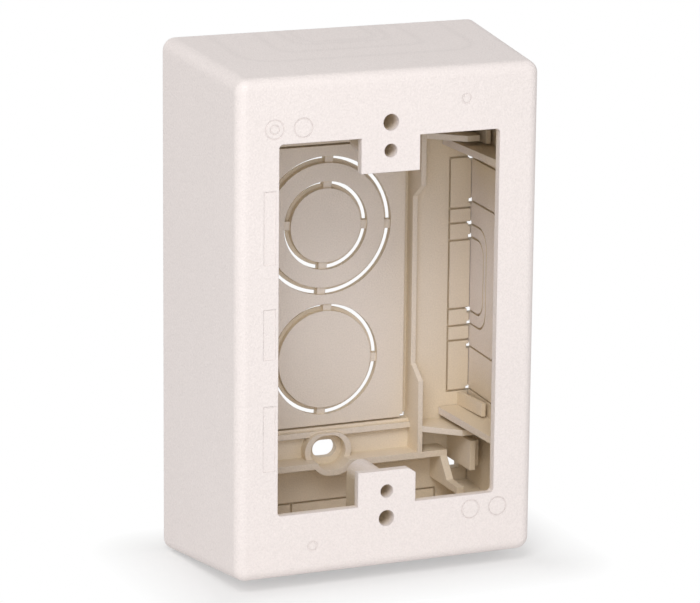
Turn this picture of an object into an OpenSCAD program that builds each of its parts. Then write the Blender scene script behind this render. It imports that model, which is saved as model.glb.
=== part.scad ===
// Surface-mounted single-gang junction box: an inner base that is screwed to the wall,
// and an outer frame that snaps over it and takes the switch or socket.
// X is to the right, Z is up, and the wall is the plane Y = 0, with the front at -Y.

/* [Outer frame] */
// Width at the wall
back_w = 83; // [78:0.5:88]
// Height at the wall
back_h = 128; // [122:0.5:134]
// Width of the front face
front_w = 77; // [72:0.5:80]
// Height of the front face
front_h = 121; // [116:0.5:124]
// Depth from the wall to the front face
depth = 42; // [38:0.5:50]
// Radius of the edges round the front face
edge_r = 2.7; // [2:0.1:3]
// Radius of the four edges that run back to the wall
corner_r = 3.1; // [3.1:0.1:4]
// Thickness of the four side walls
wall = 2.0; // [1.8:0.1:2.4]
// Thickness of the front face
face_t = 2.2; // [1.8:0.1:3]

/* [Window] */
// Width of the opening for the device
window_w = 56.5; // [52:0.5:60]
// Height of the opening for the device
window_h = 90; // [86:0.5:93]
// Width of the two tabs that carry the device screws
tab_w = 15; // [12:0.5:20]
// Height from one tab's free edge to the other's
tab_gap = 73; // [68:0.5:78]
// Spacing of the two device screws
device_pitch = 83.34; // [82.5:0.02:84]
// Hole for a device screw
device_hole_d = 3.3; // [2.6:0.1:3.8]
// Spacing of the two outer holes
outer_pitch = 96.84; // [96:0.02:98]
// Outer hole
outer_hole_d = 4.0; // [3:0.1:4.6]

/* [Screw bosses] */
// Width of the boss behind each tab
boss_w = 7.1; // [6:0.1:8]
// How far the boss reaches back from the front face
boss_reach = 16.5; // [10:0.5:18]

/* [Shelves in the frame] */
// Height of the shelves' near side above and below the middle
shelf_z = 33.7; // [33:0.1:35]
// Thickness of a shelf
shelf_t = 1.8; // [1.4:0.1:2.4]
// Distance of a shelf's free edge from the middle
shelf_x = 31.5; // [30:0.1:33]
// Height of the outer shelves' near side
outer_shelf_z = 53.5; // [53:0.1:54]

/* [Break-outs] */
// Width of the score lines
score_w = 0.5; // [0.3:0.05:0.8]
// Depth of the score lines
score_d = 0.9; // [0.5:0.05:1.2]

/* [Base] */
// Thickness of the base
base_t = 2.8; // [2.4:0.1:3]
// Gap between the base and the frame around it
base_gap = 0.15; // [0.1:0.05:0.4]
// Width of the panel that holds the knockouts
panel_w = 42.6; // [40:0.2:44]
// Height of the panel
panel_h = 70.8; // [68:0.2:72]
// Width of a knockout's groove
groove_w = 1.75; // [1:0.05:2]
// Width of the gap in the bottom of the groove
groove_gap = 0.85; // [0.3:0.05:0.9]
// How far the bridges over the gap are turned round the knockout
bridge_turn = 3.2; // [0:0.1:10]
// Diameter of the small knockout
small_knockout_d = 22.2; // [21:0.1:23]
// Diameter of the middle knockout
middle_knockout_d = 28.2; // [27:0.1:30]
// Diameter of the large knockout
large_knockout_d = 34.9; // [34:0.1:36]

/* [Ribs on the base] */
// Thickness of the ribs
rib_t = 1.3; // [1.2:0.1:2]
// Distance of the upright ribs' near face from the middle
rib_x = 22.75; // [22.5:0.05:24]
// Height of the cross ribs, and of the upright ribs at their ends, above the wall
rib_high = 9; // [7:0.1:10]
// Height of the upright ribs in their middle, and of the ridges, above the wall
rib_low = 4.2; // [3.6:0.1:5]
// Distance of the cross ribs' near face from the middle
cross_z = 43.3; // [43:0.1:44]
// Thickness of the cross ribs
cross_t = 1.6; // [1.2:0.1:2]

/* [Wall screws] */
// Height of the mounting slots above and below the middle
mount_z = 41.5; // [41:0.1:42]
// Width of a mounting slot
mount_w = 6.4; // [5:0.1:8]
// Height of a mounting slot
mount_h = 4.5; // [4:0.1:5]
// Height of the collar round a mounting slot, above the wall
collar_top = 5.5; // [4:0.1:7]

/* [Hidden] */
$fn = 48;
eps = 0.05;
far = 20;

slope_x = (back_w - front_w) / 2 / depth;
slope_z = (back_h - front_h) / 2 / depth;
angle_x = atan(slope_x);
angle_z = atan(slope_z);
inner_r = corner_r - 1.6;
corner_steps = 8;
edge_steps = 7;
tab_z = tab_gap / 2;
base_w = back_w - 2 * (wall + base_gap + base_t * slope_x);
base_h = back_h - 2 * (wall + base_gap + base_t * slope_z);
panel_x = panel_w / 2;
panel_z = panel_h / 2;
relief = 0.8;
groove_floor = 1.3;

// Knockout centres above and below the middle
pair_z = 15.4;
single_z = -18.6;

// Shallow marks on the front face: the places that are left bare, and the mould's own rings
pad_depth = 0.18;
pads = [[34, 16.5], [5.8, -6.4], [-17.7, -33.7]];
pad_x = [-32, -29];
pin_ring_d = 4.8;
pin_rings = [[-29.4, 48.6], [-22.2, 48.6], [22.2, -48.6], [29.4, -48.6]];
gate_d = 2.6;
gates = [[19.4, 52.8], [-19.2, -53.3]];

// Break-outs in the side walls and in the end walls: half width, reach from the wall, corner
side_breakouts = [[29.7, 24, 1], [18.7, 19.6, 1.5], [12.8, 13.8, 5], [9.5, 11.8, 4]];
end_breakouts = [[18.7, 19.6, 1.5], [12.8, 13.8, 5], [9.5, 11.8, 4]];

// The base's hooks: near and far face, near and far end, height above the wall
hook_x = [33.6, 35.1];
hook_z = [39.4, 47];
hook_top = 16.8;
notch_z = [41.8, 44.8];

// The ears that stand above the frame's shelves: near and far face, height above the wall
ear_x = [36.3, 37.4];
ear_top = 17.4;

// Inner half width and half height of the frame at a distance d from the wall
function inner_x(d) = back_w / 2 - wall - d * slope_x;
function inner_z(d) = back_h / 2 - wall - d * slope_z;

function ivory() = [0.95, 0.92, 0.88];
function warm_ivory() = [0.90, 0.86, 0.79];

// A rectangular block between two distances d0 and d1 from the wall
module block(x0, x1, d0, d1, z0, z1)
  translate([x0, -d1, z0]) cube([x1 - x0, d1 - d0, z1 - z0]);

// A shape drawn in X and Z, extruded from distance d0 to distance d1
module from_wall(d0, d1)
  translate([0, -d0, 0]) rotate([90, 0, 0]) linear_extrude(d1 - d0) children();

// A profile drawn as [distance from the wall, Z], extruded from x0 to x1
module across(x0, x1)
  translate([x1, 0, 0]) rotate([90, 0, -90]) linear_extrude(x1 - x0) children();

// A profile drawn as [X, distance from the wall], extruded from z0 to z1
module upright(z0, z1)
  translate([0, 0, z1]) rotate([180, 0, 0]) linear_extrude(z1 - z0) children();

// The same shape on the right and on the left
module both_sides() {
  children();
  mirror([1, 0, 0]) children();
}

// The same shape below and above
module both_ends() {
  children();
  mirror([0, 0, 1]) children();
}

module round_rect(w, h, r) {
  square([w - 2 * r, h], center = true);
  square([w, h - 2 * r], center = true);
  for (x = [-1, 1], y = [-1, 1])
    translate([x * (w / 2 - r), y * (h / 2 - r)]) circle(r);
}

// A quarter of a ring, open towards the corner that it rounds
module quarter_ring(r, w)
  intersection() {
    difference() {
      circle(r + w / 2);
      circle(r - w / 2);
    }
    square(r + w);
  }

// Outline of a break-out that is open towards the wall: two legs and a closing line, with round
// corners. Drawn as [distance from the wall, Z].
module breakout_line(half, reach, r) {
  for (s = [0, 1]) mirror([0, s, 0]) {
    translate([0, half - score_w / 2]) square([reach - r, score_w]);
    translate([reach - r, half - r]) quarter_ring(r, score_w);
  }
  translate([reach - score_w / 2, -(half - r)]) square([score_w, 2 * (half - r)]);
}

// A solid lofted through rounded outlines, each given as [half width, half height, corner
// radius, distance from the wall], from the wall towards the front
function outline(level) = [
  for (q = [0 : 3], i = [0 : corner_steps])
    let (a = 90 * q + 90 * i / corner_steps,
         sx = q == 0 || q == 3 ? 1 : -1, sz = q < 2 ? 1 : -1, r = level[2])
      [sx * (level[0] - r) + r * cos(a), -level[3], sz * (level[1] - r) + r * sin(a)]
];

module loft(levels) {
  n = 4 * (corner_steps + 1);
  last = len(levels) - 1;
  polyhedron(
    points = [for (level = levels) each outline(level)],
    faces = concat(
      [[for (i = [0 : n - 1]) i]],
      [for (k = [0 : last - 1], i = [0 : n - 1])
        [k * n + i, (k + 1) * n + i, (k + 1) * n + (i + 1) % n, k * n + (i + 1) % n]],
      [[for (i = [n - 1 : -1 : 0]) last * n + i]]));
}

// The frame's outside narrows to a front face with rounded edges
module frame_outside() {
  start = (angle_x + angle_z) / 2;
  cx = front_w / 2 + slope_x * edge_r - edge_r / cos(angle_x);
  cz = front_h / 2 + slope_z * edge_r - edge_r / cos(angle_z);
  loft(concat(
    [[back_w / 2, back_h / 2, corner_r, 0]],
    [for (i = [0 : edge_steps])
      let (a = start + (90 - start) * i / edge_steps, out = edge_r * cos(a))
        [cx + out, cz + out, corner_r - edge_r + out, depth - edge_r + edge_r * sin(a)]]));
}

module frame_inside()
  loft([[inner_x(-1), inner_z(-1), inner_r, -1],
        [inner_x(depth - face_t), inner_z(depth - face_t), inner_r, depth - face_t]]);

// The window, less the two tabs that carry the screws; the lower tab has one cut corner
module window_shape()
  difference() {
    round_rect(window_w, window_h, 1);
    translate([-tab_w / 2, tab_z]) square([tab_w, far]);
    translate([-tab_w / 2, -tab_z - far])
      polygon([[0, 0], [tab_w, 0], [tab_w, far - 1.2], [tab_w - 1.8, far], [0, far]]);
  }

// Round-topped bosses behind the tabs, one below and one above, that the device screws bite into
module screw_bosses()
  both_ends() from_wall(depth - boss_reach, depth - 1) {
    translate([0, -device_pitch / 2]) circle(d = boss_w);
    translate([-boss_w / 2, -front_h / 2]) square([boss_w, front_h / 2 - device_pitch / 2]);
  }

// Four shelves that run back from the front face and stop short of the base, and four narrower
// ones near the ends
module shelves()
  both_ends() both_sides() {
    upright(-shelf_z - shelf_t, -shelf_z)
      polygon([[shelf_x - 0.6, 3.4], [shelf_x, 3.1], [inner_x(3.1) + 0.6, 3.1],
               [inner_x(depth) + 0.6, depth - 1], [shelf_x, depth - 1]]);
    upright(-outer_shelf_z - 1.8, -outer_shelf_z)
      polygon([[shelf_x + 2, 3.1], [inner_x(3.1) + 0.6, 3.1], [inner_x(depth) + 0.6, depth - 1],
               [shelf_x + 2, depth - 1]]);
  }

// Catches on the side walls: an upright plate beside each of the base's hooks, with a tooth that
// sits in the hook's notch
module catches()
  both_ends() both_sides() {
    upright(-hook_z[1] + 0.5, -hook_z[0] - 0.5)
      polygon([[hook_x[1] + 0.4, 9], [inner_x(9) + 0.6, 9], [inner_x(11) + 0.6, 11],
               [hook_x[1] + 1.6, 11], [hook_x[1] + 1.6, 15], [hook_x[1] + 0.4, 15]]);
    upright(-notch_z[1] + 0.3, -notch_z[0] - 0.3)
      polygon([[hook_x[1] - 0.3, 14.2], [hook_x[1] + 0.5, 13.4], [hook_x[1] + 0.5, 15],
               [hook_x[1] - 0.3, 15]]);
  }

// Nested break-outs for raceway, scored into the inside of the side walls
module side_scores()
  both_sides() translate([inner_x(0), 0, 0]) rotate([0, 0, -angle_x])
    across(-eps, score_d) {
      for (b = side_breakouts) breakout_line(b[0], b[1], b[2]);
    }

// The same kind of nested break-outs in the top and bottom walls
module end_scores()
  both_ends() translate([0, 0, -inner_z(0)]) rotate([-angle_z, 0, 0])
    rotate([0, 90, 0]) across(-eps, score_d) {
      for (b = end_breakouts) breakout_line(b[0], b[1], b[2]);
    }

// Notches in the back edge of the side walls, where the score lines start
module starter_notches()
  both_sides() for (b = side_breakouts, s = [-1, 1])
    translate([0, 0, s * b[0]])
      block(inner_x(0) - 1, inner_x(0) + 1.2, -1, base_t + 0.2, -0.8, 0.8);

// A shallow ring mark in the front face
module ring_mark(d, w)
  from_wall(depth - 0.12, depth + 1)
    difference() {
      circle(d = d);
      circle(d = d - 2 * w);
    }

module face_marks() {
  for (p = pads) block(pad_x[0], pad_x[1], depth - pad_depth, depth + 1, p[1], p[0]);
  for (p = pin_rings) translate([p[0], 0, p[1]]) ring_mark(pin_ring_d, 0.25);
  for (p = gates) translate([p[0], 0, p[1]]) ring_mark(gate_d, 0.35);
  translate([pin_rings[0][0], 0, pin_rings[0][1]]) ring_mark(2.4, 0.25);
}

module screw_holes()
  for (s = [-1, 1]) {
    translate([0, 1, s * device_pitch / 2]) rotate([90, 0, 0])
      cylinder(d = device_hole_d, h = depth + 2);
    translate([0, -depth + face_t + 8, s * outer_pitch / 2]) rotate([90, 0, 0])
      cylinder(d = outer_hole_d, h = face_t + 9);
  }

module cover_frame()
  color(ivory())
    difference() {
      union() {
        difference() {
          frame_outside();
          frame_inside();
          from_wall(depth - far, depth + 1) window_shape();
          side_scores();
          end_scores();
          starter_notches();
        }
        intersection() {
          union() {
            screw_bosses();
            shelves();
            catches();
          }
          block(-back_w / 2 + 1.2, back_w / 2 - 1.2, 0, depth - 1,
                -front_h / 2 + 1, front_h / 2 - 1);
        }
      }
      screw_holes();
      face_marks();
    }

// A knockout: a wide groove in front, a narrow gap along its outer side, and a relief behind, so
// that light shows only along the lower and the far side. Four bridges cross the gap.
module knockout(d) {
  r = d / 2;
  difference() {
    union() {
      from_wall(groove_floor, base_t + 1) ring(r - groove_w, r);
      from_wall(relief - 0.02, groove_floor + 0.02) ring(r - groove_gap, r + 0.2);
      from_wall(-1, relief) ring(r - 1.2, r + 0.9);
    }
    for (a = [0 : 90 : 270]) rotate([0, bridge_turn + a, 0])
      block(-1.1, 1.1, relief - 0.5, base_t - 0.5, r - groove_w - 1, r + 2);
  }
}

module ring(r0, r1)
  difference() {
    circle(r1, $fn = 72);
    circle(r0, $fn = 72);
  }

// The flat plate, with a trench on each side of the panel, a groove above and below it, small
// holes at the panel's corners, and a hole beside each hook
module plate()
  difference() {
    from_wall(0, base_t) round_rect(base_w, base_h, 2);
    both_sides() block(panel_x, rib_x + 0.1, 1, base_t + 1, -panel_z, panel_z);
    both_ends() {
      block(-rib_x, rib_x, 1.2, base_t + 1, -panel_z - 0.5, -panel_z);
      both_sides() {
        block(panel_x - 0.8, rib_x, -1, base_t + 1, -panel_z - 0.5, -panel_z + 0.7);
        block(hook_x[0] - 1, hook_x[1] + 1.9, -1, base_t + 1, -50.3, -hook_z[1]);
      }
    }
  }

// Two upright ribs beside the panel, tall at their ends and low in the middle
module upright_ribs()
  both_sides() across(rib_x, rib_x + rib_t)
    polygon([[0, -cross_z - 1], [rib_high, -cross_z - 1], [rib_high, -24.9], [rib_low, -21.3],
             [rib_low, 21.3], [rib_high, 24.9], [rib_high, cross_z + 1], [0, cross_z + 1]]);

// Low ridges above and below the panel
module ridges()
  both_ends() block(-rib_x - 0.2, rib_x + 0.2, 0, rib_low, -38, -36.55);

// An oval, wider than it is high
module oval(w, h) {
  square([w - h, h], center = true);
  for (s = [-1, 1]) translate([s * (w - h) / 2, 0]) circle(d = h);
}

// Cross ribs, with an oval collar round each mounting slot that makes the rib bulge outwards
module cross_ribs()
  both_ends() {
    from_wall(0, rib_high) {
      translate([-30.9, -cross_z - cross_t]) square([61.8, cross_t]);
      difference() {
        translate([0, -mount_z]) oval(12.2, 10.8);
        translate([-far, -cross_z]) square([2 * far, far]);
      }
    }
    from_wall(0, collar_top) translate([0, -mount_z]) oval(12.5, 9.2);
  }

module mounting_slots()
  both_ends() translate([0, 0, -mount_z]) {
    from_wall(base_t, rib_high + 1) oval(9.3, 8);
    from_wall(-1, base_t + 1) oval(mount_w, mount_h);
    from_wall(-1, relief) oval(mount_w + 2.4, mount_h + 2.4);
  }

// Corner work, four times: a plate that rises outwards, an arm that leans over the end strip,
// and a hook for the frame
module corner_work()
  both_ends() both_sides() {
    upright(-38.1, -36.6)
      polygon([[rib_x + 0.2, 0], [rib_x + 0.2, rib_high], [rib_x + rib_t, rib_high], [31.8, 16.1],
               [hook_x[1], 16.1], [hook_x[1], 0]]);
    across(29, 30.9)
      polygon([[0, -cross_z], [rib_high, -cross_z], [rib_high, -cross_z - cross_t], [13, -50],
               [19.4, -50.2], [19.4, -51.9], [0, -51.9]]);
    difference() {
      block(hook_x[0], hook_x[1], 0, hook_top, -hook_z[1], -hook_z[0]);
      block(hook_x[1] - 0.6, hook_x[1] + 1, 12.8, 15.3, -notch_z[1], -notch_z[0]);
    }
  }

// Ears that stand on the upper side of each shelf
module ears()
  both_sides() across(ear_x[0], ear_x[1]) {
    polygon([[0, -shelf_z], [3, -shelf_z], [ear_top, -33.2], [ear_top, -29.8], [0, -30.6]]);
    translate([0, 2 * shelf_z + shelf_t])
      polygon([[0, -shelf_z], [3, -shelf_z], [ear_top, -33.2], [ear_top, -29.8], [0, -30.6]]);
  }

// Break-out strips along the edges of the base
module strip_scores() {
  both_sides() from_wall(base_t - score_d, base_t + 1) {
    translate([33.1, -30]) square([score_w, 60]);
    for (z = [-30, -17, -13.2, -8.8, 8.8, 13.2, 17, 30])
      translate([33.1, z - score_w / 2]) square([far, score_w]);
  }
  both_ends() from_wall(base_t - score_d, base_t + 1) {
    translate([-30.4, -55.2]) square([60.8, score_w]);
    for (x = [-30.4, -13.2, -8.8, 8.8, 13.2, 30.4])
      translate([x - score_w / 2, -55.2 - far]) square([score_w, far]);
  }
}

// Small notches in the base's edge, where the score lines of the side walls pass
module edge_notches()
  both_sides() for (b = side_breakouts, s = [-1, 1])
    translate([0, 0, s * b[0]])
      block(base_w / 2 - 0.6, base_w / 2 + 1, -1, base_t + 1, -0.6, 0.6);

module base_plate()
  color(warm_ivory())
    difference() {
      union() {
        difference() {
          plate();
          strip_scores();
          edge_notches();
          translate([0, 0, pair_z]) knockout(small_knockout_d);
          translate([0, 0, pair_z]) knockout(large_knockout_d);
          translate([0, 0, single_z]) knockout(middle_knockout_d);
        }
        upright_ribs();
        ridges();
        cross_ribs();
        corner_work();
        ears();
      }
      mounting_slots();
    }

cover_frame();
base_plate();
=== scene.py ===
# %% [markdown]
# # A moulded junction box, dressed and lit
#
# The object is a surface-mount box for one switch or socket. It comes apart into two plastic
# mouldings: a base that is screwed to the wall, and a frame that snaps over it. Both shapes come
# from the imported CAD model, which this script only loads. What is left for Blender is everything
# that makes plastic look like plastic: its colour, its fine moulded grain, the light that gets
# lost and warmed inside the box, and the camera that took the photograph.

# %% Load the frame
import math

import bpy
from mathutils import Matrix, Vector


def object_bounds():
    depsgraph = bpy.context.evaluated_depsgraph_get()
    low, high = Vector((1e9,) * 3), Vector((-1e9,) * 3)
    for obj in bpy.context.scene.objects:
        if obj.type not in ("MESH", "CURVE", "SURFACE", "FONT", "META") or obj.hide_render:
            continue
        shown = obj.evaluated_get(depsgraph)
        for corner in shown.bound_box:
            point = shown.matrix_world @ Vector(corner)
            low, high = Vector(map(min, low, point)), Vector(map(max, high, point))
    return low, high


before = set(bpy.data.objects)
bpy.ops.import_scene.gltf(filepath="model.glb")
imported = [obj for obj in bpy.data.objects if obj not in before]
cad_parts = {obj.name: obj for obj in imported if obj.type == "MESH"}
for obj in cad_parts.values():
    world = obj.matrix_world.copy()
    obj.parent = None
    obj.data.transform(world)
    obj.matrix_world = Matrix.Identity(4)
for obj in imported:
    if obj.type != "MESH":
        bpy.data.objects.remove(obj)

cad_box = [list(corner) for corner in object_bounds()]
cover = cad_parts["cover_frame"]
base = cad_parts["base_plate"]
MM = 0.001
print("box of the CAD model, mm:", [[round(v / MM, 1) for v in corner] for corner in cad_box])

# %% [markdown]
# ## The camera
#
# The lens and the place of the camera were solved from corners and holes whose real spacing is
# known. A long lens, about 190 mm on a full frame, explains why the sides hardly converge. A
# camera could be aimed with a constraint, but three vectors say the same thing in plain sight:
# which way is forward, which way is right, and which way is up.

# %% Place the camera
AZIMUTH = math.radians(-23.126)
ELEVATION = math.radians(13.815)
ROLL = math.radians(0.555)
DISTANCE = 0.9137
TARGET = Vector((-0.00070, -0.020, 0.000185))
FOCAL_PIXELS = 3768.4
IMAGE_WIDTH = 700


def camera_axes(azimuth, elevation, roll):
    towards = Vector((math.sin(azimuth) * math.cos(elevation),
                      -math.cos(azimuth) * math.cos(elevation),
                      math.sin(elevation)))
    level_right = (-towards).cross(Vector((0, 0, 1))).normalized()
    level_up = level_right.cross(-towards)
    right = math.cos(roll) * level_right + math.sin(roll) * level_up
    up = math.cos(roll) * level_up - math.sin(roll) * level_right
    return right, up, towards


def add_camera():
    data = bpy.data.cameras.new("camera")
    data.sensor_fit = "HORIZONTAL"
    data.sensor_width = 36
    data.lens = FOCAL_PIXELS * data.sensor_width / IMAGE_WIDTH
    data.clip_start = 0.01
    data.clip_end = 20
    camera = bpy.data.objects.new("camera", data)
    bpy.context.scene.collection.objects.link(camera)
    right, up, towards = camera_axes(AZIMUTH, ELEVATION, ROLL)
    turn = Matrix((right, up, towards)).transposed().to_4x4()
    camera.matrix_world = Matrix.Translation(TARGET + towards * DISTANCE) @ turn
    bpy.context.scene.camera = camera
    print("lens", round(data.lens, 1), "mm at", [round(v, 3) for v in camera.location])


add_camera()

# %% [markdown]
# ## Helpers for materials
#
# A material in Blender is a small graph. Building it in code is tidier with two helpers: one adds
# a node and sets its inputs by name, and one starts a material with its Principled shader.

# %% Node helpers
def node(tree, kind, **inputs):
    made = tree.nodes.new(kind)
    for name, value in inputs.items():
        socket = made.inputs[name.replace("_", " ")]
        if isinstance(value, bpy.types.NodeSocket):
            tree.links.new(value, socket)
        else:
            socket.default_value = value
    return made


def vector_step(tree, operation, first, second=None):
    made = tree.nodes.new("ShaderNodeVectorMath")
    made.operation = operation
    tree.links.new(first, made.inputs[0])
    if second is not None:
        made.inputs[1].default_value = second
    return made.outputs["Value" if operation == "LENGTH" else "Vector"]


def ramp(tree, value, start, end, first=0.0, last=1.0):
    """A straight ramp from first to last while the value goes from start to end."""
    made = node(tree, "ShaderNodeMapRange", Value=value, From_Min=start, From_Max=end,
                To_Min=first, To_Max=last)
    return made.outputs["Result"]


def math_step(tree, operation, first, second=0.0):
    made = tree.nodes.new("ShaderNodeMath")
    made.operation = operation
    for socket, value in zip(made.inputs, (first, second)):
        if isinstance(value, bpy.types.NodeSocket):
            tree.links.new(value, socket)
        else:
            socket.default_value = value
    return made.outputs["Value"]


def new_material(name):
    material = bpy.data.materials.new(name)
    material.use_nodes = True
    tree = material.node_tree
    return material, tree, tree.nodes["Principled BSDF"]


def put_on(obj, material):
    obj.data.materials.clear()
    obj.data.materials.append(material)


# %% [markdown]
# ## Ivory plastic
#
# Both mouldings are ivory PVC. It is matte because the mould was spark-eroded: the faces carry a
# fine even grain, which scatters the highlight and shows as tiny speckle. A bump map from noise
# gives that grain, in real millimetres through object coordinates, so it needs no UV map. A
# second, much larger noise shifts the colour by a per cent or two, as real mouldings do where the
# plastic flowed and cooled.
#
# Ivory plastic lets a little light in, and gives it back warmer. In the open that can't be seen,
# but deep in the box the light has been through it and between the walls several times, and the
# corners turn from ivory to a darker straw. Subsurface scattering would do this and cost minutes.
# Here it is painted shade instead: an Ambient Occlusion node tells how open each spot is, and the
# colour is mixed from the paler plastic towards a darker, warmer straw where the spot is shut in.
#
# Moulded edges are never quite sharp. The frame's large roundings are real geometry, but the
# quarter-millimetre ones on ribs and tabs would cost a hundred thousand faces, so a Bevel node
# bends the normals there instead and lets every edge catch its thread of light.

# %% Make the plastic
EDGE_RADIUS = 0.25 * MM
OPEN_DISTANCE = 30 * MM
SPECKLE = 0.04


def painted_shade_amount(tree, where, alone, tightest):
    """How much painted shade goes in: 0 in the open and on the front face, and 1 where the spot
    is as shut in as tightest says.
    """
    openness = node(tree, "ShaderNodeAmbientOcclusion", Distance=OPEN_DISTANCE)
    openness.samples = 8
    openness.only_local = alone
    depth = node(tree, "ShaderNodeSeparateXYZ", Vector=where).outputs["Y"]
    front = cad_box[0][1]
    return math_step(tree, "MULTIPLY", ramp(tree, openness.outputs["AO"], 1.0, tightest),
                     ramp(tree, depth, front + 0.5 * MM, front + 4 * MM))


def plastic(name, pale, painted_shade_colour, grain_mm, grain_height, roughness, alone, tightest):
    material, tree, shader = new_material(name)
    where = node(tree, "ShaderNodeTexCoord").outputs["Object"]
    mix = node(tree, "ShaderNodeMix")
    mix.data_type = "RGBA"
    # Painted shade: the darker, warmer straw is mixed in where the spot is shut in.
    tree.links.new(painted_shade_amount(tree, where, alone, tightest), mix.inputs["Factor"])
    mix.inputs["A"].default_value = pale
    mix.inputs["B"].default_value = painted_shade_colour

    cloud = node(tree, "ShaderNodeTexNoise", Vector=where, Scale=28.0, Detail=2.0)
    fine = node(tree, "ShaderNodeTexNoise", Vector=where, Scale=1 / (grain_mm * MM), Detail=2.0)
    both = math_step(tree, "MULTIPLY", ramp(tree, cloud.outputs["Fac"], 0.3, 0.7, 0.99, 1.01),
                     ramp(tree, fine.outputs["Fac"], 0.3, 0.7, 1 - SPECKLE, 1 + SPECKLE))
    tint = node(tree, "ShaderNodeHueSaturation", Value=both)
    tree.links.new(mix.outputs["Result"], tint.inputs["Color"])
    tree.links.new(tint.outputs["Color"], shader.inputs["Base Color"])

    soft_edge = node(tree, "ShaderNodeBevel", Radius=EDGE_RADIUS)
    soft_edge.samples = 4
    bump = node(tree, "ShaderNodeBump", Height=fine.outputs["Fac"], Strength=1.0,
                Distance=grain_height * MM, Normal=soft_edge.outputs["Normal"])
    tree.links.new(bump.outputs["Normal"], shader.inputs["Normal"])

    shader.inputs["Roughness"].default_value = roughness
    shader.inputs["IOR"].default_value = 1.48
    return material


IVORY = (0.905, 0.833, 0.812, 1)
# Painted shade: the darker, warmer straw that stands in for light lost and warmed inside the box.
PAINTED_SHADE_STRAW = (0.820, 0.705, 0.545, 1)
cover_plastic = plastic("frame_plastic", IVORY, PAINTED_SHADE_STRAW, 0.45, 0.15, 0.42, True, 0.85)
put_on(cover, cover_plastic)
put_on(base, plastic("base_plastic", (0.885, 0.802, 0.745, 1), PAINTED_SHADE_STRAW, 0.40, 0.08, 0.45, False, 0.3))

# %% [markdown]
# ## Break-outs that show through
#
# The walls are thin where raceway can be let in, and there the outline of each break-out shows
# faintly on the outside of the top, as a line where the plastic sank a little when it cooled.
# The dips are far too shallow to model, so their shade is painted into the colour. Their distance
# is
# worked out as for a rounded rectangle: fold the place with an absolute value, take off the
# straight part, and measure what is left against the corner radius. A lower Value in the colour
# then draws them as painted shade.

# %% Draw the faint outlines
NESTED = [(18.7, 19.6, 4), (12.8, 13.8, 5), (9.5, 11.8, 4), (30, 27, 8)]
LINE_WIDTH = 1.5 * MM
SINK_SHADE = 0.04


# Painted shade: darkens the colour along each break-out outline on the top, in place of the shade
# of a shallow sunk dip.
def painted_sink_shade(material):
    tree = material.node_tree
    where = node(tree, "ShaderNodeTexCoord").outputs["Object"]
    folded = vector_step(tree, "ABSOLUTE", where)
    normal = node(tree, "ShaderNodeNewGeometry").outputs["Normal"]
    height = node(tree, "ShaderNodeSeparateXYZ", Vector=where).outputs["Z"]
    upward = node(tree, "ShaderNodeSeparateXYZ", Vector=normal).outputs["Z"]
    top_only = math_step(tree, "MULTIPLY", ramp(tree, height, 0.056, 0.058),
                         ramp(tree, upward, 0.9, 0.95))
    lines = 0.0
    for half, reach, corner in NESTED:
        straight = ((half - corner) * MM, (reach - corner) * MM, 1.0)
        past = vector_step(tree, "SUBTRACT", folded, straight)
        past = vector_step(tree, "MAXIMUM", past, (0, 0, 0))
        off = math_step(tree, "SUBTRACT", vector_step(tree, "LENGTH", past), corner * MM)
        line = ramp(tree, math_step(tree, "ABSOLUTE", off), 0, LINE_WIDTH, SINK_SHADE, 0)
        lines = math_step(tree, "ADD", line, lines)
    shade = math_step(tree, "SUBTRACT", 1.0, math_step(tree, "MULTIPLY", lines, top_only))
    value = tree.nodes["Hue/Saturation/Value"].inputs["Value"]
    was = value.links[0].from_socket
    tree.links.new(math_step(tree, "MULTIPLY", was, shade), value)


painted_sink_shade(cover_plastic)

# %% [markdown]
# ## Floor and world
#
# The photograph is a cut-out on white. The floor here is a plain pale sheet that keeps the box's
# contact shadow and fades to clean white a few centimetres further out. How far a spot is from
# the box's footprint is worked out in the material: the part of |x|, |y| that is past the
# footprint's half size, and then its length.

# %% Lay the floor
FLOOR_Z = cad_box[0][2] - 0.0002
FLOOR_SIZE = 6.0
SHADOW_REACH = 0.018
FOOT_HALF = [(cad_box[1][i] - cad_box[0][i]) / 2 for i in (0, 1)]
FOOT_MIDDLE = [(cad_box[1][i] + cad_box[0][i]) / 2 for i in (0, 1)]


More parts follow.
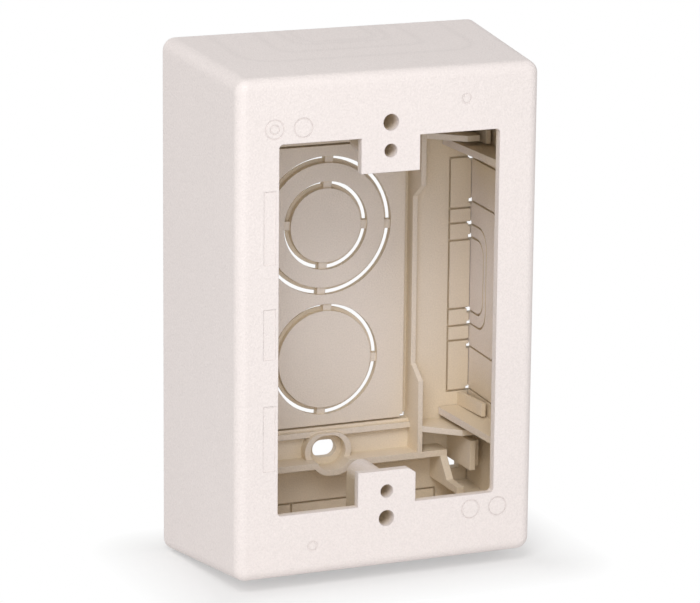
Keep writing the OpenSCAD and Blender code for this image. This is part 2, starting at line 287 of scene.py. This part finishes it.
def add_floor():
    bpy.ops.mesh.primitive_plane_add(size=FLOOR_SIZE, location=(*FOOT_MIDDLE, FLOOR_Z))
    floor = bpy.context.object
    floor.name = "floor"
    material, tree, shader = new_material("floor_paper")
    shader.inputs["Base Color"].default_value = (0.90, 0.90, 0.90, 1)
    shader.inputs["Roughness"].default_value = 0.9
    shader.inputs["Specular IOR Level"].default_value = 0.1

    where = node(tree, "ShaderNodeTexCoord").outputs["Object"]
    folded = vector_step(tree, "ABSOLUTE", where)
    past = vector_step(tree, "SUBTRACT", folded, (*FOOT_HALF, 0))
    past = vector_step(tree, "MAXIMUM", past, (0, 0, 0))
    fade = ramp(tree, vector_step(tree, "LENGTH", past), -0.7 * SHADOW_REACH, SHADOW_REACH)
    seen = node(tree, "ShaderNodeLightPath").outputs["Is Camera Ray"]
    both = math_step(tree, "MULTIPLY", fade, seen)
    white = node(tree, "ShaderNodeEmission", Strength=1.0)
    mixed = node(tree, "ShaderNodeMixShader")
    tree.links.new(both, mixed.inputs["Fac"])
    tree.links.new(shader.outputs["BSDF"], mixed.inputs[1])
    tree.links.new(white.outputs["Emission"], mixed.inputs[2])
    tree.links.new(mixed.outputs["Shader"], tree.nodes["Material Output"].inputs["Surface"])
    put_on(floor, material)


add_floor()

# %% Set the world
AMBIENT = 0.51


def set_world():
    world = bpy.data.worlds.new("studio")
    bpy.context.scene.world = world
    world.use_nodes = True
    tree = world.node_tree
    tree.nodes.clear()
    seen = node(tree, "ShaderNodeLightPath").outputs["Is Camera Ray"]
    soft = node(tree, "ShaderNodeBackground", Color=(1.0, 0.99, 0.98, 1), Strength=AMBIENT)
    white = node(tree, "ShaderNodeBackground", Color=(1, 1, 1, 1), Strength=1.0)
    mixed = node(tree, "ShaderNodeMixShader", Fac=seen)
    tree.links.new(soft.outputs["Background"], mixed.inputs[1])
    tree.links.new(white.outputs["Background"], mixed.inputs[2])
    out = node(tree, "ShaderNodeOutputWorld")
    tree.links.new(mixed.outputs["Shader"], out.inputs["Surface"])


set_world()

# %% [markdown]
# ## Lamps
#
# The front face is the brightest in the photograph, the left side a little darker and the top a
# little darker again, so the main light is broad, in front and to the left. A second, smaller one
# from above draws the bright lines along the rounded edges.

# %% Hang the lamps
def lamp(name, azimuth, elevation, distance, size, power, colour):
    data = bpy.data.lights.new(name, "AREA")
    data.shape = "RECTANGLE"
    data.size, data.size_y = size
    data.energy = power
    data.color = colour
    obj = bpy.data.objects.new(name, data)
    bpy.context.scene.collection.objects.link(obj)
    right, up, towards = camera_axes(math.radians(azimuth), math.radians(elevation), 0)
    turn = Matrix((right, up, towards)).transposed().to_4x4()
    obj.matrix_world = Matrix.Translation(towards * distance) @ turn
    return obj


lamp("high", -30, 45, 1.3, (0.6, 0.5), 5.9, (1.0, 0.995, 0.99))
lamp("key", -37, 28, 1.3, (0.5, 0.5), 1.3, (1.0, 0.995, 0.99))
lamp("frontal", -15, 10, 1.3, (0.6, 0.6), 2.0, (1.0, 0.995, 0.99))

# %% Colour management
bpy.context.scene.view_settings.view_transform = "Standard"
